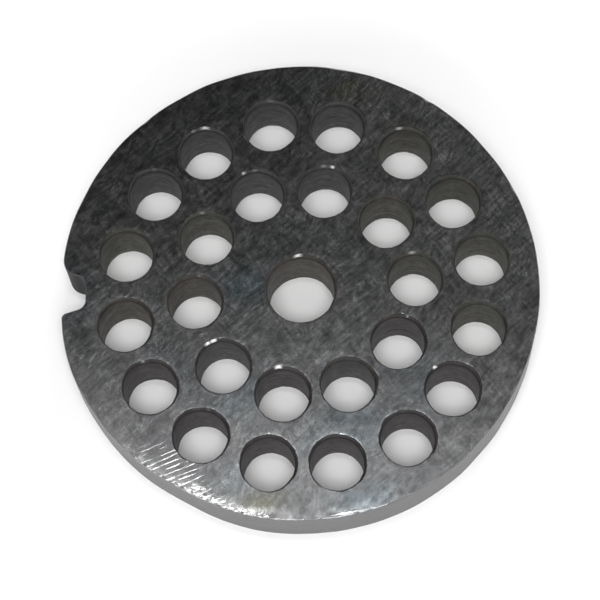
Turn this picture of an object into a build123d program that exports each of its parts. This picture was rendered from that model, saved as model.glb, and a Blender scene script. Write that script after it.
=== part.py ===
from build123d import *
import math
import os

# Meat grinder plate: one disc of hardened steel, drilled right through with a
# centre bore and two rings of discharge holes, and notched once in its rim.
#
# Frame: millimetres. The origin is on the axis of the round rim, which seats
# in the grinder's head, at the underside the plate lies on. +Z is up, out of
# the face the knife runs on. The rim notch is on the -X side. Angles are
# counted from +X towards +Y.

# ---- driving dimensions ----------------------------------------------------
PLATE_D = 70.0        # outside diameter, the No. 12 size
PLATE_T = 8.8         # thickness, face to face
RIM_EDGE = 0.30       # edge break where the rim meets each face

BORE_D = 9.8          # centre bore, for the worm's spindle
BORE_X = 0.18         # the bore and the holes scribed from it sit a little
BORE_Y = -0.60        # off the rim's axis
BORE_EDGE = 0.30      # edge break at both ends of the bore

HOLE_D = 7.7          # discharge holes
HOLE_EDGE = 0.25      # edge break at both ends of each hole

# The holes were drilled by hand against a scribed circle, so each one has its
# own place: (angle in degrees, distance from the bore's axis in mm).
OUTER_RING = [
    (4.1, 26.75), (25.6, 26.10), (48.6, 26.20), (72.7, 25.95),
    (94.8, 26.20), (118.3, 25.70), (140.1, 26.25), (162.8, 26.25),
    (186.5, 26.15), (208.9, 26.30), (231.7, 26.30), (254.7, 26.60),
    (276.0, 26.70), (298.8, 27.30), (319.6, 26.70), (341.1, 26.50),
]
INNER_RING = [
    (34.3, 16.30), (72.0, 15.55), (108.7, 16.00), (145.0, 16.05),
    (181.7, 15.60), (221.0, 16.25), (255.5, 16.20), (289.8, 16.10),
    (324.5, 16.30), (359.4, 16.70),
]

NOTCH_ANGLE = 176.1   # direction of the notch, seen from the rim's axis
NOTCH_FLOOR_R = 31.3  # the notch's floor, from the rim's axis
NOTCH_FLOOR_W = 4.5   # width at the floor, before its corners are rounded
NOTCH_MOUTH_W = 6.8   # width where it opens in the rim
NOTCH_CORNER_R = 1.5  # radius in the floor's two corners
NOTCH_LIP_R = 0.5     # radius on the two upright edges at the mouth

# ---- derived ----------------------------------------------------------------
PLATE_R = PLATE_D / 2
FLARE = (NOTCH_MOUTH_W - NOTCH_FLOOR_W) / 2 / (PLATE_R - NOTCH_FLOOR_R)
OVERSHOOT = 3.0       # how far the notch's cut runs out past the rim
MOUTH_R = PLATE_R + OVERSHOOT
MOUTH_HALF = NOTCH_FLOOR_W / 2 + FLARE * (MOUTH_R - NOTCH_FLOOR_R)


def polar(angle, radius):
    """A point of the plate's plan, from its angle and distance to a centre."""
    a = math.radians(angle)
    return (radius * math.cos(a), radius * math.sin(a))


hole_places = []
for hole_angle, hole_radius in OUTER_RING + INNER_RING:
    dx, dy = polar(hole_angle, hole_radius)
    hole_places.append((BORE_X + dx, BORE_Y + dy, PLATE_T))

# ---- the plate --------------------------------------------------------------
with BuildPart() as grinder_plate:
    # The turned blank.
    with BuildSketch(Plane.XY):
        Circle(PLATE_R)
    extrude(amount=PLATE_T)

    # The locating notch: flared walls, a straight floor and rounded corners,
    # cut square through the thickness.
    notch_plane = Plane(
        origin=(0, 0, 0),
        x_dir=(*polar(NOTCH_ANGLE, 1.0), 0),
        z_dir=(0, 0, 1),
    )
    with BuildSketch(notch_plane):
        with BuildLine():
            Polyline(
                (NOTCH_FLOOR_R, -NOTCH_FLOOR_W / 2),
                (NOTCH_FLOOR_R, NOTCH_FLOOR_W / 2),
                (MOUTH_R, MOUTH_HALF),
                (MOUTH_R, -MOUTH_HALF),
                close=True,
            )
        make_face()
        floor_corners = vertices().sort_by(Axis.X)[:2]
        fillet(floor_corners, NOTCH_CORNER_R)
    extrude(amount=PLATE_T, mode=Mode.SUBTRACT)

    # Upright edges where the notch opens in the rim.
    mouth_edges = (
        grinder_plate.edges()
        .filter_by(Axis.Z)
        .filter_by(lambda e: abs((e.center() - Vector(0, 0, PLATE_T / 2)).length - PLATE_R) < 0.05)
    )
    fillet(mouth_edges, NOTCH_LIP_R)

    # Both faces' outlines are broken all the way round, notch included.
    outline = (
        grinder_plate.edges()
        .filter_by_position(Axis.Z, -0.01, 0.01)
        + grinder_plate.edges().filter_by_position(Axis.Z, PLATE_T - 0.01, PLATE_T + 0.01)
    )
    chamfer(outline, RIM_EDGE)

    # The centre bore, then the discharge holes.
    with Locations((BORE_X, BORE_Y, PLATE_T)):
        Hole(BORE_D / 2, depth=PLATE_T)
    with Locations(*hole_places):
        Hole(HOLE_D / 2, depth=PLATE_T)

    # Edge breaks at both ends of every hole.
    hole_mouths = (
        grinder_plate.edges()
        .filter_by(GeomType.CIRCLE)
        .filter_by(lambda e: abs(e.radius - HOLE_D / 2) < 1e-6)
    )
    chamfer(hole_mouths, HOLE_EDGE)
    bore_mouths = (
        grinder_plate.edges()
        .filter_by(GeomType.CIRCLE)
        .filter_by(lambda e: abs(e.radius - BORE_D / 2) < 1e-6)
    )
    chamfer(bore_mouths, BORE_EDGE)

grinder_plate.part.label = "grinder_plate"

os.makedirs("parts", exist_ok=True)
export_step(grinder_plate.part, "parts/grinder_plate.step")

if __name__ == "__main__":
    box = grinder_plate.part.bounding_box()
    print("size", [round(v, 3) for v in box.size], "volume", round(grinder_plate.part.volume, 1))
    print("solids", len(grinder_plate.part.solids()), "faces", len(grinder_plate.part.faces()))
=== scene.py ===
import math
import numpy as np
import bpy
from mathutils import Matrix, Vector
from mathutils.geometry import delaunay_2d_cdt


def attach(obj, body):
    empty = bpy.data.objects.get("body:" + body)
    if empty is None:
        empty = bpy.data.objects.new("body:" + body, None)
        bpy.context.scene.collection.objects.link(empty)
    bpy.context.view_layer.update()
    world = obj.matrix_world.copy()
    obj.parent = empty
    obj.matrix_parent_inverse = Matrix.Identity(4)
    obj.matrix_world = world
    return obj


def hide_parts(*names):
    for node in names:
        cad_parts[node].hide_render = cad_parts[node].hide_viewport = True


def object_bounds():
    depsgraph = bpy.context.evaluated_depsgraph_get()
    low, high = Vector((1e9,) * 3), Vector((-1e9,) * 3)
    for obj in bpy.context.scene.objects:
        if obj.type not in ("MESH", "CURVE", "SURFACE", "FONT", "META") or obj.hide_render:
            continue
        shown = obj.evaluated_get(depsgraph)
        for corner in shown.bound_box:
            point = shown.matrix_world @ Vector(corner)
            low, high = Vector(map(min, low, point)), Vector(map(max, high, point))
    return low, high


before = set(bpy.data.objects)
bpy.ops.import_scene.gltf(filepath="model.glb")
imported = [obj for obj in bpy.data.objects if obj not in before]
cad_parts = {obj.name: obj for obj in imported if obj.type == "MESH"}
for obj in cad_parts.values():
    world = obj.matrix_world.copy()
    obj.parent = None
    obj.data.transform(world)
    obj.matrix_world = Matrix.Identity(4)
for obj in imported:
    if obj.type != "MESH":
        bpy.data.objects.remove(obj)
cad_low, cad_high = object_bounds()

# --------------------------------------------------------------------------
# sizes, in millimetres, the same as the CAD
# --------------------------------------------------------------------------
T = 8.8                     # thickness
RIM_R = 35.0                # outside radius
BX, BY, BORE_R = 0.18, -0.60, 4.9
HOLE_R = 3.85
OUTER = [(4.1, 26.75), (25.6, 26.10), (48.6, 26.20), (72.7, 25.95), (94.8, 26.20), (118.3, 25.70),
         (140.1, 26.25), (162.8, 26.25), (186.5, 26.15), (208.9, 26.30), (231.7, 26.30),
         (254.7, 26.60), (276.0, 26.70), (298.8, 27.30), (319.6, 26.70), (341.1, 26.50)]
INNER = [(34.3, 16.30), (72.0, 15.55), (108.7, 16.00), (145.0, 16.05), (181.7, 15.60),
         (221.0, 16.25), (255.5, 16.20), (289.8, 16.10), (324.5, 16.30), (359.4, 16.70)]
HOLES = [(BX + r * math.cos(math.radians(a)), BY + r * math.sin(math.radians(a)))
         for a, r in OUTER + INNER]

NOTCH_A = math.radians(176.1)
NOTCH_FLOOR_R, NOTCH_FLOOR_W, NOTCH_MOUTH_W = 31.3, 4.5, 6.8
NOTCH_CORNER_R, LIP_FRONT_R, LIP_BACK_R = 1.5, 0.9, 2.4

rng = np.random.default_rng(4021)


# --------------------------------------------------------------------------
# small noise helpers, all seeded
# --------------------------------------------------------------------------
def ring_noise(seed, low, high, falloff=1.0):
    """A smooth closed curve of mean 0 and spread about 1, made of waves low..high."""
    r = np.random.default_rng(seed)
    k = np.arange(low, high + 1)
    amp = r.normal(size=len(k)) / k ** falloff
    amp /= math.sqrt((amp ** 2).sum() / 2) + 1e-9
    ph = r.uniform(0, 2 * math.pi, len(k))
    return lambda th: (amp[:, None] * np.cos(k[:, None] * np.atleast_1d(th)[None, :] + ph[:, None])).sum(0)


def lattice(seed, cell, span=42.0):
    """Smooth noise over the plane, spread about 1, with the given cell in mm."""
    n = int(2 * span / cell) + 4
    g = np.random.default_rng(seed).normal(size=(n, n))

    def at(x, y):
        u, v = (np.asarray(x) + span) / cell, (np.asarray(y) + span) / cell
        i, j = np.clip(u.astype(int), 0, n - 2), np.clip(v.astype(int), 0, n - 2)
        a, b = np.clip(u - i, 0, 1), np.clip(v - j, 0, 1)
        a, b = a * a * (3 - 2 * a), b * b * (3 - 2 * b)
        return ((g[i, j] * (1 - a) + g[i + 1, j] * a) * (1 - b)
                + (g[i, j + 1] * (1 - a) + g[i + 1, j + 1] * a) * b)
    return at


def bump(x, centre, sigma):
    return np.exp(-0.5 * ((x - centre) / sigma) ** 2)


def angle_bump(deg, centre, sigma):
    d = (np.asarray(deg) - centre + 180.0) % 360.0 - 180.0
    return np.exp(-0.5 * (d / sigma) ** 2)


# --------------------------------------------------------------------------
# the outline of the rim with its notch
# --------------------------------------------------------------------------
def fillet_path(pts, radii):
    """Closed path with its corners rounded by the given radii."""
    out, n = [], len(pts)
    for i in range(n):
        p, r = np.array(pts[i]), radii[i]
        if r <= 0:
            out.append(p)
            continue
        a, b = np.array(pts[i - 1]) - p, np.array(pts[(i + 1) % n]) - p
        la, lb = np.linalg.norm(a), np.linalg.norm(b)
        a, b = a / la, b / lb
        half = math.acos(np.clip(a @ b, -1, 1)) / 2
        t = min(r / math.tan(half), 0.95 * la, 0.95 * lb)
        rr = t * math.tan(half)
        c = p + (a + b) / np.linalg.norm(a + b) * (rr / math.sin(half))
        s, e = p + a * t, p + b * t
        a0, a1 = math.atan2(*(s - c)[::-1]), math.atan2(*(e - c)[::-1])
        d = (a1 - a0 + math.pi) % (2 * math.pi) - math.pi
        m = max(3, int(abs(d) * rr / 0.06))
        for k in range(m + 1):
            w = a0 + d * k / m
            out.append(c + rr * np.array((math.cos(w), math.sin(w))))
    return np.array(out)


u_ax = np.array((math.cos(NOTCH_A), math.sin(NOTCH_A)))
v_ax = np.array((-math.sin(NOTCH_A), math.cos(NOTCH_A)))
flare = (NOTCH_MOUTH_W - NOTCH_FLOOR_W) / 2 / (RIM_R - NOTCH_FLOOR_R)
# where the notch's wall line meets the rim: r along u with v = fw + flare * (u - floor)
lo_u, hi_u = 33.0, 35.0
for _ in range(60):
    mid = (lo_u + hi_u) / 2
    if math.hypot(mid, NOTCH_FLOOR_W / 2 + flare * (mid - NOTCH_FLOOR_R)) < RIM_R:
        lo_u = mid
    else:
        hi_u = mid
mouth_u, mouth_v = lo_u, NOTCH_FLOOR_W / 2 + flare * (lo_u - NOTCH_FLOOR_R)
mouth_half = math.atan2(mouth_v, mouth_u)

corner = [u_ax * mouth_u - v_ax * mouth_v, u_ax * NOTCH_FLOOR_R - v_ax * NOTCH_FLOOR_W / 2,
          u_ax * NOTCH_FLOOR_R + v_ax * NOTCH_FLOOR_W / 2, u_ax * mouth_u + v_ax * mouth_v]
# The path runs anticlockwise: round the rim from one lip to the other, then through the notch.
start, stop = NOTCH_A + mouth_half, NOTCH_A + 2 * math.pi - mouth_half
arc = [RIM_R * np.array((math.cos(w), math.sin(w)))
       for w in np.linspace(start + 0.040, stop - 0.085, 720)]
pts = [corner[3]] + arc + [corner[0], corner[1], corner[2]]
rad = [LIP_FRONT_R] + [0] * len(arc) + [LIP_BACK_R, NOTCH_CORNER_R, NOTCH_CORNER_R]
path = fillet_path(pts, rad)


def resample(path, spacing):
    """Closed path sampled afresh, spacing(x, y) in mm apart."""
    closed = np.vstack([path, path[:1]])
    seg = np.linalg.norm(np.diff(closed, axis=0), axis=1)
    s = np.r_[0, np.cumsum(seg)]
    mid = (closed[1:] + closed[:-1]) / 2
    rate = seg / spacing(mid[:, 0], mid[:, 1])
    q = np.r_[0, np.cumsum(rate)]
    n = int(round(q[-1]))
    want = np.linspace(0, q[-1], n, endpoint=False)
    at = np.interp(want, q, s)
    return np.c_[np.interp(at, s, closed[:, 0]), np.interp(at, s, closed[:, 1])]


def worn_zone(x, y):
    """1 over the stretch of the rim's edge that is battered, at the lower left."""
    d = np.degrees(np.arctan2(y, x)) % 360
    return np.clip(angle_bump(d, 240, 15) + 0.55 * angle_bump(d, 279, 5), 0, 1)


def rim_spacing(x, y):
    d = np.degrees(np.arctan2(y, x)) % 360
    near_notch = (np.hypot(x, y) < 34.9) | (np.abs(d - 176.1) < 7)
    return np.where(near_notch, 0.24, 0.40 - 0.19 * np.clip(worn_zone(x, y) * 1.6, 0, 1))


rim = resample(path, rim_spacing)
rd, rr = np.degrees(np.arctan2(rim[:, 1], rim[:, 0])) % 360, np.hypot(rim[:, 0], rim[:, 1])
# The rim is worn out of round by a few tenths of a millimetre.
swell = (-0.38 * angle_bump(rd, 236, 9) + 0.36 * angle_bump(rd, 196, 8)
         + 0.16 * angle_bump(rd, 296, 10) - 0.08 * angle_bump(rd, 326, 8)
         + 0.03 * ring_noise(11, 3, 40, 0.6)(np.radians(rd)))
swell *= np.clip((rr - 32.5) / 2.2, 0, 1)
rim = rim * ((rr + swell) / rr)[:, None]
rim[:, 0] = np.clip(rim[:, 0], cad_low.x * 1000 + 0.004, cad_high.x * 1000 - 0.004)
rim[:, 1] = np.clip(rim[:, 1], cad_low.y * 1000 + 0.004, cad_high.y * 1000 - 0.004)


def normals_of(p, outward=1.0):
    """Unit normals of a closed path that runs anticlockwise; outward=-1 turns them inwards."""
    t = np.roll(p, -1, 0) - np.roll(p, 1, 0)
    t /= np.linalg.norm(t, axis=1)[:, None]
    return outward * np.c_[t[:, 1], -t[:, 0]]


# --------------------------------------------------------------------------
# loops: place, normal out of the steel, edge breaks, relief of the wall
# --------------------------------------------------------------------------
class Loop:
    pass


loops = []


def add_loop(kind, ident, place, normal, e_top, e_bot, relief, centre, ding=None):
    L = Loop()
    L.kind, L.ident, L.n = kind, ident, len(place)
    L.place, L.normal, L.e_top, L.e_bot, L.relief, L.centre = place, normal, e_top, e_bot, relief, centre
    seg = np.linalg.norm(np.roll(place, -1, 0) - place, axis=1)
    L.s = np.r_[0, np.cumsum(seg)]
    L.ding = np.zeros(L.n) if ding is None else ding
    loops.append(L)


rn = normals_of(rim)
ang = np.radians(np.degrees(np.arctan2(rim[:, 1], rim[:, 0])))
in_notch = (np.hypot(rim[:, 0], rim[:, 1]) < 34.75) & (np.abs(np.degrees(ang) % 360 - 176.1) < 9)
wz = worn_zone(rim[:, 0], rim[:, 1]) * (np.hypot(rim[:, 0], rim[:, 1]) > 34.0)
rag = np.random.default_rng(77)
chips = np.clip(ring_noise(5, 60, 260, 0.25)(ang), 0, 3) * wz
e_rim = 0.11 + 0.015 * ring_noise(12, 4, 60, 0.5)(ang) + 0.10 * wz + 0.20 * chips
for c, w, h in ((0.35, 0.02, 0.18), (0.9, 0.012, 0.22), (1.32, 0.03, 0.12), (2.2, 0.015, 0.2),
                (3.55, 0.02, 0.25), (5.05, 0.02, 0.2), (5.7, 0.012, 0.28), (5.95, 0.03, 0.15)):
    d = (ang - c + math.pi) % (2 * math.pi) - math.pi
    e_rim += h * np.exp(-0.5 * (d / w) ** 2)
e_rim = np.clip(e_rim, 0.08, 0.85)
e_rim_b = np.clip(0.2 + 0.03 * ring_noise(13, 4, 60, 0.5)(ang), 0.1, 0.4)


def rim_relief(s, z):
    """Turning marks and small dents of the rim's wall."""
    return (0.012 * np.sin(z * 5.3 + 0.4 * np.sin(s * 0.11)) + 0.008 * np.sin(z * 12.1 + 1.0)
            - 0.010 * np.abs(np.sin(s * 0.37 + 1.3 * np.sin(z * 0.9))) - 0.012)


add_loop("rim", 0, rim, rn, e_rim, e_rim_b, rim_relief, None)


# dinged places on the holes' upper edges, their bare steel brightened as painted glints: hole, angle, half width in
# degrees, depth and brightness
SPOTS = [(6, 112, 6, .32), (6, 87, 10, .50), (3, 96, 8, .42), (5, 85, 10, .24), (18, 86, 8, .32), (18, 68, 4, .70),
         (19, 113, 4, .58), (19, 89, 7, .28), (27, 90, 7, .62), (26, 90, 9, .40), (20, 94, 8, .30),
         (21, 76, 5, .3), (22, 117, 5, .95), (22, 104, 5, .95), (23, 93, 6, 1.0), (15, 121, 4, 1.0),
         (25, 66, 4, .4), (7, 88, 8, .24), (10, 100, 5, .4), (11, 70, 5, .3)]


def add_hole(kind, ident, cx, cy, r, n):
    g = np.random.default_rng(900 + ident)
    th = np.linspace(0, 2 * math.pi, n, endpoint=False) + g.uniform(0, 2 * math.pi / n)
    out = ring_noise(300 + ident, 2, 5, 1.0)(th) * 0.022 + ring_noise(340 + ident, 6, 24, 0.4)(th) * 0.010
    out = out + 0.07 * np.clip(-np.sin(th), 0, 1)
    rad_ = r + out
    place = np.c_[cx + rad_ * np.cos(th), cy + rad_ * np.sin(th)]
    normal = -np.c_[np.cos(th), np.sin(th)]
    e = (0.36 + 0.20 * np.tanh(1.6 * np.cos(th - math.radians(62)))
         + 0.030 * ring_noise(400 + ident, 2, 9, 0.4)(th) + 0.016 * ring_noise(440 + ident, 10, 30, 0.2)(th))
    ding = np.zeros(n)
    for _ in range(int(g.integers(1, 4))):      # nicks
        c, w, h = g.uniform(0, 2 * math.pi), g.uniform(0.05, 0.14), g.uniform(0.03, 0.12)
        d = (th - c + math.pi) % (2 * math.pi) - math.pi
        e += h * np.exp(-0.5 * (d / w) ** 2)
    # painted glint: the spots also set how bright the bare steel of each dinged place is painted
    for hid, deg, half, much in SPOTS:          # dinged places of the mouth
        if hid == ident:
            d = (th - math.radians(deg) + math.pi) % (2 * math.pi) - math.pi
            g_ = np.exp(-0.5 * (d / math.radians(half * 0.8)) ** 2)
            e += 0.08 * much * g_
            ding = np.maximum(ding, much * g_)
    e = np.clip(e, 0.10, 0.70)
    eb = np.clip(0.16 + 0.02 * ring_noise(500 + ident, 2, 9, 0.4)(th), 0.07, 0.3)
    rough, step, ph = g.uniform(0.6, 1.3), g.uniform(4.2, 5.6), g.uniform(0, 6.28, 4)

    def relief(s, z, r=r):
        a = s / r
        return rough * (0.020 * np.sin(z * step + 1.0 * a + ph[0]) + 0.013 * np.sin(z * 2.3 * step + 2.0 * a + ph[1])
                        + 0.012 * np.sin(3 * a + z * 0.8 + ph[2]) * np.sin(z * 1.7 + ph[3]))

    add_loop(kind, ident, place, normal, e, eb, relief, (cx, cy), ding)


for i, (hx, hy) in enumerate(HOLES):
    add_hole("hole", i + 1, hx, hy, HOLE_R, 66)
add_hole("bore", 27, BX, BY, BORE_R, 84)

# --------------------------------------------------------------------------
# vertices: every loop gives rows from the upper face, down its wall, to the lower face
# --------------------------------------------------------------------------
ARC_T = np.radians([0, 22, 45, 68, 90])
ARC_B = np.radians([90, 60, 30, 0])
WALL_ROWS = 13

co, att_edge, att_ding = [], [], []
faces, face_mat, face_uv = [], [], []
wall_quads = []      # (loop index, row, column)
count = 0
for L in loops:
    rows = []
    for a in ARC_T:
        off = -L.e_top + L.e_top * math.sin(a)
        z = T - L.e_top + L.e_top * math.cos(a)
        rows.append((off, z))
    for k in range(1, WALL_ROWS):
        f = k / WALL_ROWS
        z = (T - L.e_top) * (1 - f) + L.e_bot * f
        fade = min(1.0, 6 * f, 6 * (1 - f))
        rows.append((fade * L.relief(L.s[:-1], z), z))
    for a in ARC_B:
        off = -L.e_bot + L.e_bot * math.sin(a)
        z = L.e_bot - L.e_bot * math.cos(a)
        rows.append((off, z))
    L.first, L.rows = count, len(rows)
    v = np.zeros(L.n)
    L.v = []
    prev = None
    for k, (off, z) in enumerate(rows):
        off = np.broadcast_to(off, (L.n,)); z = np.broadcast_to(z, (L.n,))
        xy = L.place + L.normal * off[:, None]
        co.append(np.c_[xy, z])
        if prev is not None:
            v = v + np.linalg.norm(co[-1] - prev, axis=1)
        L.v.append(v.copy())
        prev = co[-1]
        att_edge.append(np.full(L.n, math.sin(2 * ARC_T[k]) if k < len(ARC_T) else 0.0))
        att_ding.append(L.ding * (1.0 if k < len(ARC_T) else 0.0))
    count += L.n * L.rows
    L.v = np.array(L.v)

# --------------------------------------------------------------------------
# the two faces: a fine triangulation between the loops
# --------------------------------------------------------------------------


def inside(poly, p):
    """Which points lie inside a closed polygon."""
    a, b = poly, np.roll(poly, -1, 0)
    out = np.zeros(len(p), bool)
    for (x0, y0), (x1, y1) in zip(a, b):
        if y0 == y1:
            continue
        hit = (p[:, 1] > min(y0, y1)) & (p[:, 1] <= max(y0, y1))
        if hit.any():
            xs = x0 + (p[hit, 1] - y0) * (x1 - x0) / (y1 - y0)
            out[hit] ^= xs > p[hit, 0]
    return out


def face_points(spacing, row, clear):
    """Interior points of a face on a jittered triangular grid, clear of its loops."""
    h = spacing * math.sqrt(3) / 2
    nrow = int(72 / h)
    g = np.random.default_rng(int(spacing * 1000))
    P = []
    for j in range(nrow):
        y = -36 + j * h
        x = np.arange(-36 + (j % 2) * spacing / 2, 36, spacing)
        P.append(np.c_[x, np.full(len(x), y)])
    P = np.vstack(P)
    P = P + g.uniform(-0.13, 0.13, P.shape) * spacing
    ok = np.hypot(P[:, 0], P[:, 1]) < 35.4
    P = P[ok]
    ok = np.ones(len(P), bool)
    for L in loops:
        ring = co_row(L, row)
        if L.kind == "rim":
            ok &= inside(ring, P)
            for i in range(0, len(ring)):
                near = np.abs(P[:, 0] - ring[i, 0]) + np.abs(P[:, 1] - ring[i, 1]) < clear * 1.5
                if near.any():
                    d = np.hypot(P[near, 0] - ring[i, 0], P[near, 1] - ring[i, 1])
                    idx = np.where(near)[0][d < clear]
                    ok[idx] = False
        else:
            far = np.hypot(ring[:, 0] - L.centre[0], ring[:, 1] - L.centre[1]).max()
            ok &= np.hypot(P[:, 0] - L.centre[0], P[:, 1] - L.centre[1]) > far + clear * 0.8
    return P[ok]


co = np.vstack(co)


def co_row(L, row):
    k = row if row >= 0 else L.rows + row
    return co[L.first + k * L.n: L.first + (k + 1) * L.n, :2]


def triangulate(row, spacing, clear):
    """Triangles between the loops' given row: indices into co, and the new points."""
    pts, ids, edges = [], [], []
    for L in loops:
        k = row if row >= 0 else L.rows + row
        base = len(ids)
        ring = co_row(L, row)
        pts.append(ring)
        ids += list(range(L.first + k * L.n, L.first + (k + 1) * L.n))
        edges += [(base + i, base + (i + 1) % L.n) for i in range(L.n)]
    nb = len(ids)
    extra = face_points(spacing, row, clear)
    P = np.vstack(pts + [extra])
    res = delaunay_2d_cdt([Vector(p) for p in P], edges, [], 0, 1e-7)
    out_co, out_faces, orig = res[0], res[2], res[3]
    if len(out_co) != len(P):
        raise RuntimeError(f"the triangulation made new points: {len(out_co)} from {len(P)}")
    back = [o[0] for o in orig]
    tri = np.array([[back[i] for i in f] for f in out_faces])
    A = P[tri]
    c = A.mean(1)
    keep = inside(co_row(loops[0], row), c)
    for L in loops[1:]:
        near = np.hypot(c[:, 0] - L.centre[0], c[:, 1] - L.centre[1]) < 6
        idx = np.where(near)[0]
        keep[idx[inside(co_row(L, row), c[idx])]] = False
    tri = tri[keep]
    # slivers beyond an outline go: one of their edges is free and is no part of a loop
    rim_edges = np.sort(np.array(edges), axis=1)
    rim_code = rim_edges[:, 0] * 10 ** 7 + rim_edges[:, 1]
    while True:
        e = np.sort(tri[:, [0, 1, 1, 2, 2, 0]].reshape(-1, 2), axis=1).astype(np.int64)
        code = e[:, 0] * 10 ** 7 + e[:, 1]
        _, where, count = np.unique(code, return_inverse=True, return_counts=True)
        free = (count[where.ravel()] == 1) & ~np.isin(code, rim_code)
        stray = free.reshape(-1, 3).any(1)
        if not stray.any():
            break
        tri = tri[~stray]
    # anticlockwise, seen from above
    A = P[tri]
    area = ((A[:, 1, 0] - A[:, 0, 0]) * (A[:, 2, 1] - A[:, 0, 1])
            - (A[:, 1, 1] - A[:, 0, 1]) * (A[:, 2, 0] - A[:, 0, 0]))
    tri[area < 0] = tri[area < 0][:, ::-1]
    return tri, np.array(ids), nb, extra


top_tri, top_ids, top_nb, top_extra = triangulate(0, 0.43, 0.26)
bot_tri, bot_ids, bot_nb, bot_extra = triangulate(-1, 0.80, 0.42)

wave, ripple = lattice(21, 9.0), lattice(22, 2.2)
fine = lattice(23, 0.8)


def face_drop(x, y):
    """How far the ground face lies under its highest plane, in mm."""
    d = 0.012 + 0.004 * wave(x, y) + 0.0015 * ripple(x, y) + 0.0004 * fine(x, y)
    w = worn_zone(x, y) * np.clip((np.hypot(x, y) - 33.0) / 1.6, 0, 1) ** 2
    return np.clip(d + w * (0.03 + 0.012 * fine(x, y)), 0.001, 0.25)


top_z = T - face_drop(top_extra[:, 0], top_extra[:, 1])
for L in loops:      # the loops' first rows follow the face
    sl = slice(L.first, L.first + L.n)
    drop = face_drop(co[sl, 0], co[sl, 1])
    for k, f in enumerate((1.0, 0.75, 0.45, 0.2)):
        co[L.first + k * L.n: L.first + (k + 1) * L.n, 2] -= f * drop
top_base = len(co)
co = np.vstack([co, np.c_[top_extra, top_z]])
bot_base = len(co)
bz = np.clip(0.006 + 0.003 * wave(bot_extra[:, 1], bot_extra[:, 0]), 0.0, 0.05)
co = np.vstack([co, np.c_[bot_extra, bz]])
att_edge = np.concatenate(att_edge + [np.zeros(len(co) - top_base)])
att_ding = np.concatenate(att_ding + [np.zeros(len(co) - top_base)])
co[:, 0] = np.clip(co[:, 0], cad_low.x * 1000 + 0.002, cad_high.x * 1000 - 0.002)
co[:, 1] = np.clip(co[:, 1], cad_low.y * 1000 + 0.002, cad_high.y * 1000 - 0.002)
co[:, 2] = np.clip(co[:, 2], 0.0, T)


def full_ids(tri, ids, nb, base):
    m = np.concatenate([ids, np.arange(len(tri) * 0, 0)])
    out = np.where(tri < nb, 0, tri - nb + base)
    b = tri < nb
    out[b] = ids[tri[b]]
    return out


top_tri = full_ids(top_tri, top_ids, top_nb, top_base)
bot_tri = full_ids(bot_tri, bot_ids, bot_nb, bot_base)[:, ::-1]

# --------------------------------------------------------------------------
# map: the upper face large, the lower face small, the walls as strips
# --------------------------------------------------------------------------
FACE, WALL, RIM, NOTCH = 0, 1, 2, 3
S_TOP, S_BOT, S_W = 0.655 / 70.8, 0.315 / 70.8, 0.00635


def top_uv(xy):
    return np.c_[0.334 + xy[:, 0] * S_TOP, 0.334 + xy[:, 1] * S_TOP]


def bot_uv(xy):
    return np.c_[0.835 + xy[:, 0] * S_BOT, 0.835 - xy[:, 1] * S_BOT]


polys = [top_tri, bot_tri]
uvs = [top_uv(co[top_tri.ravel(), :2]), bot_uv(co[bot_tri.ravel(), :2])]
mats = [np.full(len(top_tri), FACE), np.full(len(bot_tri), FACE)]
quads, quad_uv, quad_mat = [], [], []
STRIP_H = 0.0610
slots = [(0.006 + 0.1625 * c, 0.676 + STRIP_H * r) for r in range(5) for c in range(4)]
slots += [(0.676 + 0.1600 * c, 0.008 + STRIP_H * r) for r in range(3) for c in range(2)]
slot_i, rim_rows = 0, 5
for L in loops:
    s = L.s
    if L.kind == "hole":
        segs = [(0, L.n, slots[slot_i][0], slots[slot_i][1])]
        slot_i += 1
    elif L.kind == "bore":
        segs = [(0, L.n, 0.676, 0.008 + STRIP_H * 3)]
    else:
        cuts = [int(np.searchsorted(s, s[-1] * k / rim_rows)) for k in range(rim_rows)] + [L.n]
        segs = [(cuts[k], cuts[k + 1], 0.676, 0.008 + STRIP_H * (4 + k)) for k in range(rim_rows)]
    for a, b, ou, ov in segs:
        i = np.arange(a, b)
        j = (i + 1) % L.n
        for k in range(L.rows - 1):
            r0, r1 = L.first + k * L.n, L.first + (k + 1) * L.n
            q = np.c_[r0 + i, r0 + j, r1 + j, r1 + i]
            if L.kind == "rim":
                q = q[:, ::-1]
            us = ou + (s[i] - s[a]) * S_W
            ue = ou + (s[i + 1] - s[a]) * S_W
            v0, v0j, v1, v1j = (ov + L.v[k][i] * S_W, ov + L.v[k][j] * S_W,
                                ov + L.v[k + 1][i] * S_W, ov + L.v[k + 1][j] * S_W)
            w = np.stack([np.c_[us, v0], np.c_[ue, v0j], np.c_[ue, v1j], np.c_[us, v1]], 1)
            if L.kind == "rim":
                w = w[:, ::-1]
            quads.append(q)
            quad_uv.append(w.reshape(-1, 2))
            arc_top = k < len(ARC_T) - 1
            arc_bot = k >= L.rows - len(ARC_B)
            if L.kind != "rim" and (arc_top or not arc_bot):
                m = np.full(len(q), WALL)
            elif arc_top or arc_bot:
                m = np.full(len(q), FACE)
            else:
                m = np.full(len(q), RIM)
            if L.kind == "rim":      # the notch keeps a dark film, the battered edge is bare
                if k < len(ARC_T) - 1:
                    m[wz[i] < 0.25] = RIM
                m[in_notch[i] & in_notch[j] & (k > 0)] = NOTCH
            quad_mat.append(m)
quads = np.vstack(quads)

# --------------------------------------------------------------------------
# the mesh
# --------------------------------------------------------------------------
tri_all = np.vstack(polys)
loop_verts = np.concatenate([tri_all.ravel(), quads.ravel()])
n_tri, n_quad = len(tri_all), len(quads)
starts = np.concatenate([np.arange(n_tri) * 3, n_tri * 3 + np.arange(n_quad) * 4])
totals = np.concatenate([np.full(n_tri, 3), np.full(n_quad, 4)])

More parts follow.
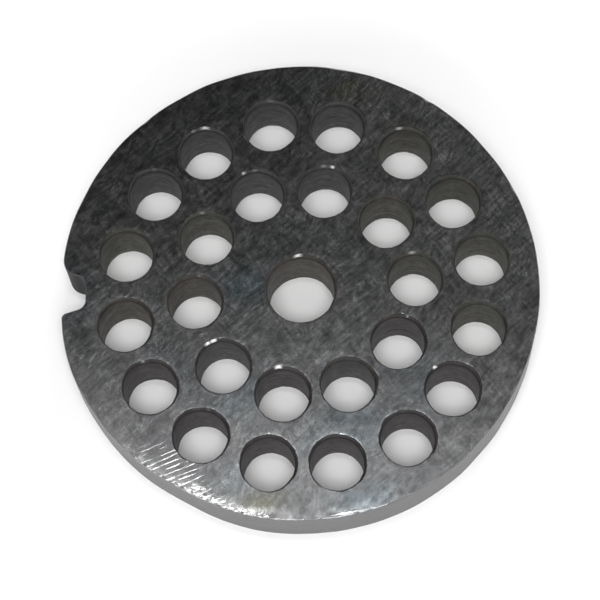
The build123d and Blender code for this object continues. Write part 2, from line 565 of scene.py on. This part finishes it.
mesh = bpy.data.meshes.new("grinder_plate_body")
mesh.vertices.add(len(co))
mesh.vertices.foreach_set("co", (co / 1000.0).astype(np.float32).ravel())
mesh.loops.add(len(loop_verts))
mesh.loops.foreach_set("vertex_index", loop_verts.astype(np.int32))
mesh.polygons.add(n_tri + n_quad)
mesh.polygons.foreach_set("loop_start", starts.astype(np.int32))
mesh.polygons.foreach_set("loop_total", totals.astype(np.int32))
mesh.polygons.foreach_set("material_index",
                          np.concatenate(mats + quad_mat).astype(np.int32))
mesh.polygons.foreach_set("use_smooth", np.ones(n_tri + n_quad, bool))
mesh.update(calc_edges=True)
if mesh.validate(verbose=False):
    raise RuntimeError("the mesh had faults")
uv = mesh.uv_layers.new(name="OFBake")
uv.uv.foreach_set("vector", np.vstack(uvs + quad_uv).astype(np.float32).ravel())

# Normals: each face counts by its area, so the wide flat face wins over the narrow edge break.
P3 = co[loop_verts]
vn = np.zeros((len(co), 3))
t3 = co[tri_all]
fn = np.cross(t3[:, 1] - t3[:, 0], t3[:, 2] - t3[:, 0])
for c in range(3):
    np.add.at(vn, tri_all[:, c], fn * np.linalg.norm(fn, axis=1)[:, None] * 3)
q3 = co[quads]
qn = np.cross(q3[:, 2] - q3[:, 0], q3[:, 3] - q3[:, 1])
for c in range(4):
    np.add.at(vn, quads[:, c], qn * np.linalg.norm(qn, axis=1)[:, None])
vn /= np.linalg.norm(vn, axis=1)[:, None] + 1e-20
mesh.normals_split_custom_set_from_vertices([tuple(v) for v in vn])


def point_attribute(name, values):
    a = mesh.attributes.new(name, "FLOAT", "POINT")
    a.data.foreach_set("value", np.asarray(values, np.float32))


def colour_attribute(name, rgb):
    a = mesh.attributes.new(name, "FLOAT_COLOR", "POINT")
    a.data.foreach_set("color", np.c_[rgb, np.ones(len(rgb))].astype(np.float32).ravel())


# distance from the nearest hole's axis, for the scuffs that circle the holes
centres = np.array(HOLES + [(BX, BY)])
radii = np.array([HOLE_R] * 26 + [BORE_R])
dist = np.hypot(co[:, None, 0] - centres[None, :, 0], co[:, None, 1] - centres[None, :, 1])
gap = dist - radii
nearest = gap.argmin(1)
point_attribute("gap", gap.min(1))
point_attribute("edge", att_edge)
point_attribute("ding", att_ding)

# --------------------------------------------------------------------------
# colour of the steel over the face, and of the film in each hole
# --------------------------------------------------------------------------
x, y, z = co[:, 0], co[:, 1], co[:, 2]
tint = np.ones((len(co), 3))


def patch(px, py, sx, sy, turn, colour, strength):
    """Draws the tint towards a colour over a soft oval patch."""
    global tint
    c, s = math.cos(math.radians(turn)), math.sin(math.radians(turn))
    u, v = (x - px) * c + (y - py) * s, -(x - px) * s + (y - py) * c
    w = strength * np.exp(-0.5 * ((u / sx) ** 2 + (v / sy) ** 2))
    w = np.clip(w * (1 + 0.35 * ripple(x, y)), 0, 1)[:, None]
    tint = tint * (1 - w) + np.array(colour) * w


# bluish places, olive places and darker places of the face
for px, py, sx, sy, turn, strength in ((-7.9, 0.9, 3.0, 2.0, 10, .8), (-32.7, 2.6, 1.6, 2.6, 0, .7),
                                       (-10.7, -15.6, 2.6, 2.2, 0, .8), (4.6, -22.3, 3.2, 2.2, 0, .8),
                                       (6.4, -32.4, 3.5, 1.4, 8, .7), (-9.0, -27.0, 4.0, 2.0, 15, .55),
                                       (16.0, -16.0, 3.0, 3.0, 0, .4), (-20.0, -11.0, 2.0, 3.0, 30, .4)):
    patch(px, py, sx, sy, turn, (0.86, 1.04, 1.10), strength)
for px, py, sx, sy, turn, strength in ((9.1, 30.4, 1.4, 1.0, 20, .9), (12.6, 29.2, 1.0, 0.9, 0, .6),
                                       (18.0, 22.0, 2.6, 1.2, -30, .45), (-8.6, -31.6, 2.4, 1.0, 10, .6)):
    patch(px, py, sx, sy, turn, (0.92, 0.90, 0.66), strength)
for px, py, sx, sy, turn, strength in ((31.6, -15.0, 2.0, 6.0, 25, .5), (-22.0, -20.5, 2.0, 1.2, 20, .4),
                                       (2.0, 31.5, 6.0, 1.5, 0, .25), (-16.0, 27.5, 5.0, 1.6, 25, .25)):
    patch(px, py, sx, sy, turn, (0.72, 0.72, 0.74), strength)

# painted shade: above mid-height the face's colour is darkened towards the back edge (to 0.75) and more steeply towards
# the front edge (to 0.62), and a little at the sides, standing in for how the light falls across the face; below
# mid-height the factor is a flat 0.92
painted_shade_tone = np.interp(y, (-35, -31.5, -28, -25, -15, 0, 15, 35), (0.62, 0.75, 0.93, 1.0, 1.0, 0.92, 0.85, 0.75))
painted_shade_tone = painted_shade_tone * np.interp(x, (-35, 0, 35), (0.97, 1.0, 0.96))
tint = tint * np.where(z > T / 2, painted_shade_tone, 0.92)[:, None]
colour_attribute("tint", np.clip(tint, 0, 2))

# the film on the walls of the holes: grey, brown, olive or purple-black
OLIVE, BROWN, PURPLE, GREY = (0.085, 0.084, 0.070), (0.088, 0.080, 0.070), (0.078, 0.070, 0.071), (0.082, 0.082, 0.083)
film_of = {1: OLIVE, 2: OLIVE, 3: OLIVE, 4: GREY, 5: GREY, 6: GREY, 7: GREY, 8: OLIVE, 9: BROWN, 10: PURPLE,
           11: PURPLE, 12: PURPLE, 13: PURPLE, 14: PURPLE, 15: PURPLE, 16: OLIVE, 17: OLIVE, 18: GREY, 19: GREY,
           20: OLIVE, 21: BROWN, 22: GREY, 23: PURPLE, 24: GREY, 25: PURPLE, 26: OLIVE, 27: BROWN}
film = np.zeros((len(co), 3)) + 0.06
for k in range(27):
    sel = nearest == k
    film[sel] = np.array(film_of[k + 1]) * (0.86 if k + 1 in (2, 3, 4, 5, 6, 7, 18, 19) else 1.0)
in_mouth = (np.abs(np.degrees(np.arctan2(y, x)) % 360 - 176.1) < 10) & (np.hypot(x, y) > 30.5)
film[in_mouth] = (0.017, 0.017, 0.0175)
colour_attribute("film", film)

# bare bright steel and painted glints: streaks and flakes near the battered stretch of the rim, their colour brightened
# where the lamp's glint lies
rr_, dd_ = np.hypot(x, y), np.degrees(np.arctan2(y, x)) % 360
bare_and_glint = (angle_bump(dd_, 231, 6.0) * np.clip((rr_ - 27.5) / 5.0, 0, 1)
        + 0.35 * angle_bump(dd_, 245, 5.0) * np.clip((rr_ - 31.0) / 3.0, 0, 1)
        + 0.20 * angle_bump(dd_, 256, 5.0) * np.clip((rr_ - 32.5) / 2.0, 0, 1))
point_attribute("bare_and_glint", np.clip(bare_and_glint, 0, 1) * (z > T - 1.0))
flake_and_glint = (angle_bump(dd_, 239, 4.5) * np.clip((rr_ - 32.2) / 1.4, 0, 1)
         + 0.60 * angle_bump(dd_, 252, 7.0) * np.clip((rr_ - 33.4) / 1.0, 0, 1)
         + 0.45 * angle_bump(dd_, 222, 5.0) * np.clip((rr_ - 33.2) / 1.0, 0, 1))
point_attribute("flake_and_glint", np.clip(flake_and_glint, 0, 1) * (z > T - 1.0))


# --------------------------------------------------------------------------
# materials
# --------------------------------------------------------------------------
class Nodes:
    """A little help with node trees."""

    def __init__(self, name):
        self.mat = bpy.data.materials.new(name)
        self.mat.use_nodes = True
        self.t = self.mat.node_tree
        self.t.nodes.clear()
        self.out = self.t.nodes.new("ShaderNodeOutputMaterial")
        self.bsdf = self.t.nodes.new("ShaderNodeBsdfPrincipled")
        self.t.links.new(self.bsdf.outputs[0], self.out.inputs["Surface"])
        tc = self.t.nodes.new("ShaderNodeTexCoord")
        self.mm = self.vec("SCALE", tc.outputs["Object"], scale=1000.0)

    def put(self, socket, value):
        if isinstance(value, bpy.types.NodeSocket):
            self.t.links.new(value, socket)
        elif value is not None:
            socket.default_value = value

    def vec(self, op, a, b=None, scale=None):
        n = self.t.nodes.new("ShaderNodeVectorMath")
        n.operation = op
        self.put(n.inputs[0], a)
        if b is not None:
            self.put(n.inputs[1], b)
        if scale is not None:
            self.put(n.inputs["Scale"], scale)
        return n.outputs[1] if op in ("LENGTH", "DOT_PRODUCT", "DISTANCE") else n.outputs[0]

    def math(self, op, a, b=None, c=None, clamp=False):
        n = self.t.nodes.new("ShaderNodeMath")
        n.operation = op
        n.use_clamp = clamp
        self.put(n.inputs[0], a)
        if b is not None:
            self.put(n.inputs[1], b)
        if c is not None:
            self.put(n.inputs[2], c)
        return n.outputs[0]

    def ramp(self, v, a, b, lo=0.0, hi=1.0, smooth=True):
        n = self.t.nodes.new("ShaderNodeMapRange")
        n.interpolation_type = "SMOOTHSTEP" if smooth else "LINEAR"
        n.clamp = True
        self.put(n.inputs["Value"], v)
        n.inputs["From Min"].default_value, n.inputs["From Max"].default_value = a, b
        n.inputs["To Min"].default_value, n.inputs["To Max"].default_value = lo, hi
        return n.outputs["Result"]

    def noise(self, vector, scale, detail=2.0, rough=0.5, distort=0.0, colour=False, lac=2.0):
        n = self.t.nodes.new("ShaderNodeTexNoise")
        n.noise_dimensions = "3D"
        self.put(n.inputs["Vector"], vector)
        n.inputs["Scale"].default_value = scale
        n.inputs["Detail"].default_value = detail
        n.inputs["Roughness"].default_value = rough
        n.inputs["Lacunarity"].default_value = lac
        n.inputs["Distortion"].default_value = distort
        return n.outputs["Color"] if colour else n.outputs[0]

    def turned(self, vector, deg, scale, shift=(0, 0, 0)):
        """The vector turned about Z so that a line at deg lies along X, then scaled."""
        n = self.t.nodes.new("ShaderNodeMapping")
        n.vector_type = "POINT"
        self.put(n.inputs["Vector"], vector)
        n.inputs["Rotation"].default_value = (0, 0, -math.radians(deg))
        m = self.t.nodes.new("ShaderNodeMapping")
        m.vector_type = "POINT"
        self.t.links.new(n.outputs[0], m.inputs["Vector"])
        m.inputs["Scale"].default_value = scale
        m.inputs["Location"].default_value = shift
        return m.outputs[0]

    def attr(self, name, colour=False):
        n = self.t.nodes.new("ShaderNodeAttribute")
        n.attribute_type = "GEOMETRY"
        n.attribute_name = name
        return n.outputs["Color"] if colour else n.outputs["Fac"]

    def mix(self, f, a, b, kind="MIX"):
        n = self.t.nodes.new("ShaderNodeMix")
        n.data_type = "RGBA"
        n.blend_type = kind
        n.clamp_factor = True
        self.put(n.inputs[0], f)
        self.put(n.inputs[6], a if not isinstance(a, tuple) else (*a, 1.0))
        self.put(n.inputs[7], b if not isinstance(b, tuple) else (*b, 1.0))
        return n.outputs[2]

    def xyz(self, v):
        n = self.t.nodes.new("ShaderNodeSeparateXYZ")
        self.put(n.inputs[0], v)
        return n.outputs

    def join(self, a, b, c):
        n = self.t.nodes.new("ShaderNodeCombineXYZ")
        self.put(n.inputs[0], a)
        self.put(n.inputs[1], b)
        self.put(n.inputs[2], c)
        return n.outputs[0]

    def bump(self, height, dist_mm, strength=1.0, normal=None):
        n = self.t.nodes.new("ShaderNodeBump")
        n.inputs["Strength"].default_value = strength
        n.inputs["Distance"].default_value = dist_mm / 1000.0
        self.put(n.inputs["Height"], height)
        if normal is not None:
            self.t.links.new(normal, n.inputs["Normal"])
        return n.outputs[0]


# the long bright scratch beside the front edge, partly a painted glint: its direction, and its middle along and across
# that direction
CUT_DIR, CUT_MID = (0.9962, 0.0868), (0.99, -34.53)


def face_steel():
    N = Nodes("ground_face_steel")
    mm = N.mm
    sep = N.xyz(mm)
    warp = N.vec("SCALE", N.noise(mm, 0.13, 1, 0.5, colour=True), scale=1.6)
    soft = N.vec("ADD", mm, warp)
    # mottling from broad to fine
    broad = N.noise(mm, 0.10, 2, 0.5)
    blot = N.noise(mm, 0.42, 3, 0.62, 0.5)
    cloud = N.noise(mm, 1.3, 3, 0.6, 0.3)
    grain = N.noise(mm, 3.3, 3, 0.7)
    # grinding marks: the main set rises to the right, the others cross it
    g1 = N.noise(N.turned(soft, 37, (0.30, 2.4, 1.0)), 1.0, 3, 0.62)
    g2 = N.noise(N.turned(soft, 68, (0.36, 2.3, 1.0), (7, 3, 0)), 1.0, 3, 0.62)
    g3 = N.noise(N.turned(soft, 122, (0.40, 2.3, 1.0), (2, 9, 0)), 1.0, 3, 0.62)
    where2 = N.ramp(N.noise(mm, 0.22, 1, 0.5), 0.42, 0.58)
    where3 = N.ramp(N.noise(mm, 0.25, 1, 0.5, 0.0), 0.58, 0.42)
    # scuffs that circle the holes
    gap = N.attr("gap")
    ringn = N.noise(N.join(N.math("MULTIPLY", gap, 3.2), N.math("MULTIPLY", sep[0], 0.22), N.math("MULTIPLY", sep[1], 0.22)), 1.0, 3, 0.62)
    ringw = N.math("MULTIPLY", N.ramp(gap, 0.1, 2.2, 1.0, 0.0), N.ramp(N.noise(mm, 0.3, 2, 0.5), 0.42, 0.60))

    def about(value, much):
        return N.math("MULTIPLY_ADD", N.math("SUBTRACT", value, 0.5), much, 1.0)

    v = about(broad, 0.30)
    v = N.math("MULTIPLY", v, about(blot, 0.95))
    v = N.math("MULTIPLY", v, about(cloud, 1.20))
    v = N.math("MULTIPLY", v, about(grain, 1.10))
    v = N.math("MULTIPLY", v, about(g1, 1.70))
    v = N.math("MULTIPLY", v, N.math("MULTIPLY_ADD", N.math("MULTIPLY", N.math("SUBTRACT", g2, 0.5), where2), 1.6, 1.0))
    v = N.math("MULTIPLY", v, N.math("MULTIPLY_ADD", N.math("MULTIPLY", N.math("SUBTRACT", g3, 0.5), where3), 1.6, 1.0))
    v = N.math("MULTIPLY", v, N.math("MULTIPLY_ADD", N.math("MULTIPLY", N.math("SUBTRACT", ringn, 0.5), ringw), 2.0, 1.0))
    calm = N.ramp(sep[1], -30.0, 12.0, 0.60, 1.12)      # the front half is rubbed smoother
    v = N.math("MULTIPLY_ADD", N.math("SUBTRACT", v, 1.0), calm, 1.0)
    v = N.math("MAXIMUM", v, 0.25)
    base = N.mix(1.0, (0.265, 0.267, 0.271), N.attr("tint", True), "MULTIPLY")
    base = N.mix(1.0, base, N.join(v, v, v), "MULTIPLY")
    # bare bright streaks that lie at 17 degrees, and flakes beside the battered edge: worn steel whose brightness is
    # partly a painted glint
    zone, near = N.attr("bare_and_glint"), N.attr("flake_and_glint")
    streak = N.noise(N.turned(mm, 17, (0.11, 1.15, 1.0), (4, 1, 0)), 1.0, 2, 0.55)
    cut = N.noise(N.turned(mm, 17, (0.30, 2.6, 1.0), (1, 5, 0)), 1.0, 2, 0.6)
    ragged = N.noise(mm, 1.15, 3, 0.7, 0.6)
    across = N.xyz(N.turned(mm, 17, (1.0, 1.0, 1.0)))[1]
    comb = N.math("SINE", N.math("MULTIPLY_ADD", across, 8.4, N.math("MULTIPLY", streak, 7.0)))
    lines = N.math("MULTIPLY", N.ramp(comb, 0.30, 0.95), N.ramp(cut, 0.42, 0.57))
    lines = N.math("MULTIPLY", lines, 0.72)
    chips = N.ramp(N.math("MULTIPLY_ADD", near, 0.10, ragged), 0.56, 0.66)
    lit = N.math("MAXIMUM", N.math("MULTIPLY", lines, N.ramp(zone, 0.10, 0.65)),
                 N.math("MULTIPLY", chips, N.ramp(near, 0.15, 0.7)))
    # one long scratch beside the front edge, brightened in colour as a painted glint
    along = N.math("MULTIPLY_ADD", sep[0], CUT_DIR[0], N.math("MULTIPLY_ADD", sep[1], CUT_DIR[1], -CUT_MID[0]))
    off = N.math("MULTIPLY_ADD", sep[1], CUT_DIR[0], N.math("MULTIPLY_ADD", sep[0], -CUT_DIR[1], -CUT_MID[1]))
    off = N.math("ABSOLUTE", N.math("MULTIPLY_ADD", N.math("SUBTRACT", cloud, 0.5), 0.6, off))
    cutl = N.math("MULTIPLY", N.ramp(off, 0.20, 0.05), N.ramp(N.math("ABSOLUTE", along), 3.3, 1.9))
    lit = N.math("MAXIMUM", lit, N.math("MULTIPLY", cutl, N.ramp(cut, 0.36, 0.52, 0.15, 0.50)))
    # painted glint: the streaks, flakes and scratch are mixed towards bright steel
    base = N.mix(lit, base, (0.62, 0.62, 0.615))
    # the edge break of the rim is rubbed bright in places
    rub = N.math("MULTIPLY", N.attr("edge"), N.ramp(N.noise(mm, 0.9, 2, 0.6), 0.52, 0.66))
    base = N.mix(N.math("MULTIPLY", rub, 0.35), base, (0.42, 0.42, 0.42))
    N.put(N.bsdf.inputs["Base Color"], base)

    # height: marks, grain and scuffs
    h = N.math("ADD", g1, N.math("MULTIPLY", grain, 0.6))
    h = N.math("ADD", h, N.math("MULTIPLY", N.math("MULTIPLY", ringn, ringw), 0.8))
    h = N.math("MULTIPLY_ADD", lit, 1.5, N.math("MULTIPLY", h, calm))
    n1 = N.bump(h, 0.004, 1.0)

    # gloss: satin, a little uneven
    r = N.math("MULTIPLY_ADD", N.math("SUBTRACT", blot, 0.5), 0.050, 0.200)
    r = N.math("ADD", r, N.math("MULTIPLY", N.math("SUBTRACT", cloud, 0.5), 0.035))
    r = N.math("ADD", r, N.math("MULTIPLY", lit, 0.03))
    r = N.math("MAXIMUM", r, 0.12)
    N.put(N.bsdf.inputs["Roughness"], r)
    N.bsdf.inputs["Metallic"].default_value = 1.0
    N.put(N.bsdf.inputs["Normal"], n1)
    return N.mat


def wall_steel():
    N = Nodes("drilled_wall_steel")
    mm = N.mm
    sep = N.xyz(mm)
    mott = N.noise(mm, 0.9, 4, 0.6)
    grain = N.noise(mm, 3.2, 3, 0.6)
    rings = N.noise(N.join(N.math("MULTIPLY", sep[0], 0.12), N.math("MULTIPLY", sep[1], 0.12), N.math("MULTIPLY", sep[2], 2.6)), 1.0, 4, 0.62)
    base = N.attr("film", True)
    v = N.math("MULTIPLY_ADD", N.math("SUBTRACT", mott, 0.5), 1.8, 1.0)
    v = N.math("MULTIPLY", v, N.math("MULTIPLY_ADD", N.math("SUBTRACT", rings, 0.5), 2.4, 1.0))
    v = N.math("MULTIPLY", v, N.math("MULTIPLY_ADD", N.math("SUBTRACT", grain, 0.5), 2.0, 1.0))
    # painted light and shade: the film is darkened towards the mouth (to 0.66, and to 0.40 on the rounded edge) and
    # lightened lower down (to 1.20), standing in for how light falls into the hole
    v = N.math("MULTIPLY", v, N.ramp(sep[2], 8.7, 4.6, 0.66, 1.20))
    v = N.math("MULTIPLY", v, N.ramp(sep[2], 8.15, 8.50, 1.0, 0.40))
    v = N.math("MAXIMUM", v, 0.15)
    base = N.mix(1.0, base, N.join(v, v, v), "MULTIPLY")
    rust = N.math("MULTIPLY", N.ramp(N.noise(mm, 0.55, 4, 0.65), 0.52, 0.70), 0.5)
    base = N.mix(rust, base, (0.055, 0.036, 0.026))
    # painted glint: the dinged places are bright bare steel on the outermost band of the mouth
    ding = N.math("MULTIPLY", N.ramp(N.attr("ding"), 0.12, 0.90), N.ramp(sep[2], 8.60, 8.70))
    base = N.mix(ding, base, (0.62, 0.62, 0.61))
    N.put(N.bsdf.inputs["Base Color"], base)
    r = N.math("MULTIPLY_ADD", N.math("SUBTRACT", grain, 0.5), 0.25, 0.58)
    N.put(N.bsdf.inputs["Roughness"], N.math("MULTIPLY_ADD", ding, -0.26, r))
    N.bsdf.inputs["Metallic"].default_value = 0.45
    h = N.math("ADD", N.math("MULTIPLY", rings, 1.0), N.math("MULTIPLY", grain, 0.5))
    N.put(N.bsdf.inputs["Normal"], N.bump(h, 0.12, 1.0))
    return N.mat


def notch_film():
    N = Nodes("notch_dark_film")
    mm = N.mm
    sep = N.xyz(mm)
    mott = N.noise(mm, 0.8, 4, 0.6)
    lines = N.noise(N.join(N.math("MULTIPLY", sep[0], 0.2), N.math("MULTIPLY", sep[1], 0.2), N.math("MULTIPLY", sep[2], 2.2)), 1.0, 3, 0.6)
    v = N.math("MULTIPLY_ADD", N.math("SUBTRACT", mott, 0.5), 1.6, 1.0)
    v = N.math("MULTIPLY", v, N.math("MULTIPLY_ADD", N.math("SUBTRACT", lines, 0.5), 1.2, 1.0))
    v = N.math("MAXIMUM", v, 0.2)
    N.put(N.bsdf.inputs["Base Color"], N.mix(1.0, (0.030, 0.030, 0.031), N.join(v, v, v), "MULTIPLY"))
    N.put(N.bsdf.inputs["Roughness"], N.math("MULTIPLY_ADD", N.math("SUBTRACT", mott, 0.5), 0.2, 0.72))
    N.bsdf.inputs["Metallic"].default_value = 0.0
    N.bsdf.inputs["Specular IOR Level"].default_value = 0.25
    N.put(N.bsdf.inputs["Normal"], N.bump(lines, 0.10, 1.0))
    return N.mat


def rim_steel():
    N = Nodes("turned_rim_steel")
    mm = N.mm
    sep = N.xyz(mm)
    broad = N.noise(mm, 0.13, 3, 0.5)
    mott = N.noise(mm, 1.1, 4, 0.6)
    grain = N.noise(mm, 3.6, 3, 0.6)
    turning = N.noise(N.join(N.math("MULTIPLY", sep[0], 0.06), N.math("MULTIPLY", sep[1], 0.06), N.math("MULTIPLY", sep[2], 4.5)), 1.0, 3, 0.6)
    v = N.math("MULTIPLY_ADD", N.math("SUBTRACT", broad, 0.5), 0.25, 1.0)
    v = N.math("MULTIPLY", v, N.math("MULTIPLY_ADD", N.math("SUBTRACT", mott, 0.5), 0.40, 1.0))
    v = N.math("MULTIPLY", v, N.math("MULTIPLY_ADD", N.math("SUBTRACT", turning, 0.5), 0.30, 1.0))
    v = N.math("MULTIPLY", v, N.math("MULTIPLY_ADD", N.math("SUBTRACT", grain, 0.5), 0.30, 1.0))
    base = N.mix(1.0, (0.175, 0.175, 0.174), N.join(v, v, v), "MULTIPLY")
    N.put(N.bsdf.inputs["Base Color"], base)
    N.put(N.bsdf.inputs["Roughness"], N.math("MULTIPLY_ADD", N.math("SUBTRACT", mott, 0.5), 0.25, 0.48))
    N.bsdf.inputs["Metallic"].default_value = 1.0
    h = N.math("ADD", N.math("MULTIPLY", turning, 0.8), N.math("MULTIPLY", grain, 0.6))
    N.put(N.bsdf.inputs["Normal"], N.bump(h, 0.03, 1.0))
    return N.mat


for m in (face_steel(), wall_steel(), rim_steel(), notch_film()):
    mesh.materials.append(m)

plate = bpy.data.objects.new("grinder_plate_body", mesh)
bpy.context.scene.collection.objects.link(plate)
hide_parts("grinder_plate")
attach(plate, "root")

# --------------------------------------------------------------------------
# floor
# --------------------------------------------------------------------------
fm = bpy.data.meshes.new("studio_floor")
h = 6.0
fm.from_pydata([(-h, -h, 0), (h, -h, 0), (h, h, 0), (-h, h, 0)], [], [(0, 1, 2, 3)])
floor = bpy.data.objects.new("studio_floor", fm)
floor.location = (0, 0, -0.00002)
bpy.context.scene.collection.objects.link(floor)
F = Nodes("pale_floor")
F.bsdf.inputs["Base Color"].default_value = (0.90, 0.90, 0.90, 1)
F.bsdf.inputs["Roughness"].default_value = 0.9
F.bsdf.inputs["Specular IOR Level"].default_value = 0.1
fm.materials.append(F.mat)


# --------------------------------------------------------------------------
# light
# --------------------------------------------------------------------------
def softbox(name, place, aim, size, power, colour=(1, 1, 1)):
    d = bpy.data.lights.new(name, "AREA")
    d.shape = "RECTANGLE"
    d.size, d.size_y = size
    d.energy = power
    d.color = colour
    o = bpy.data.objects.new(name, d)
    o.location = place
    o.rotation_euler = (Vector(aim) - Vector(place)).to_track_quat("-Z", "Y").to_euler()
    bpy.context.scene.collection.objects.link(o)
    return o


softbox("front_top_light", (-0.05, -0.34, 0.98), (0, 0, 0), (0.52, 0.30), 6.0)
softbox("edge_light", (0.02, 0.064, 1.00), (0, 0, 0), (0.24, 0.05), 1.45)
softbox("left_strip", (-0.19, 0.17, 1.00), (0, 0, 0), (0.24, 0.05), 0.060)
softbox("back_strip", (0.14, 0.43, 0.98), (0, 0, 0), (0.24, 0.10), 0.022)
softbox("left_light", (-0.85, -0.85, 0.62), (0, 0, 0), (1.1, 0.5), 4.0)
softbox("right_light", (0.75, -0.95, 0.62), (0, 0, 0), (0.8, 0.5), 1.7)
softbox("front_light", (0.0, -1.3, 0.55), (0, 0, 0), (1.0, 0.4), 5.6)
softbox("back_light", (0.55, 1.25, 0.45), (0, 0, 0), (0.6, 0.3), 10.0)

world = bpy.data.worlds.new("studio")
bpy.context.scene.world = world
world.use_nodes = True
wt = world.node_tree
wt.nodes.clear()
wo = wt.nodes.new("ShaderNodeOutputWorld")
bg = wt.nodes.new("ShaderNodeBackground")
tc = wt.nodes.new("ShaderNodeTexCoord")
sx = wt.nodes.new("ShaderNodeSeparateXYZ")
mr = wt.nodes.new("ShaderNodeMapRange")
mr.interpolation_type = "SMOOTHSTEP"
mr.inputs["From Min"].default_value, mr.inputs["From Max"].default_value = 0.30, 0.85
mr.inputs["To Min"].default_value, mr.inputs["To Max"].default_value = 0.70, 0.03
wt.links.new(tc.outputs["Generated"], sx.inputs[0])
wt.links.new(sx.outputs[2], mr.inputs["Value"])
wt.links.new(mr.outputs["Result"], bg.inputs["Strength"])
bg.inputs["Color"].default_value = (1, 1, 1, 1)
wt.links.new(bg.outputs[0], wo.inputs["Surface"])

# --------------------------------------------------------------------------
# camera
# --------------------------------------------------------------------------
cd = bpy.data.cameras.new("camera")
cam = bpy.data.objects.new("camera", cd)
right = Vector((0.9955, -0.08972, -0.03047)).normalized()
fwd = Vector((-0.00021, 0.3195, -0.94759)).normalized()
up = right.cross(fwd).normalized()
right = fwd.cross(up).normalized()
m = Matrix((right, up, -fwd)).transposed().to_4x4()
m.translation = Vector((-0.000007, -0.108709, 0.324769))
cam.matrix_world = m
cd.sensor_width = 36.0
cd.lens = 2288.4 * 36.0 / 600.0
cd.clip_start = 0.01
bpy.context.scene.collection.objects.link(cam)
bpy.context.scene.camera = cam
bpy.context.scene.view_settings.view_transform = "Standard"
bpy.context.scene.view_settings.look = "None"
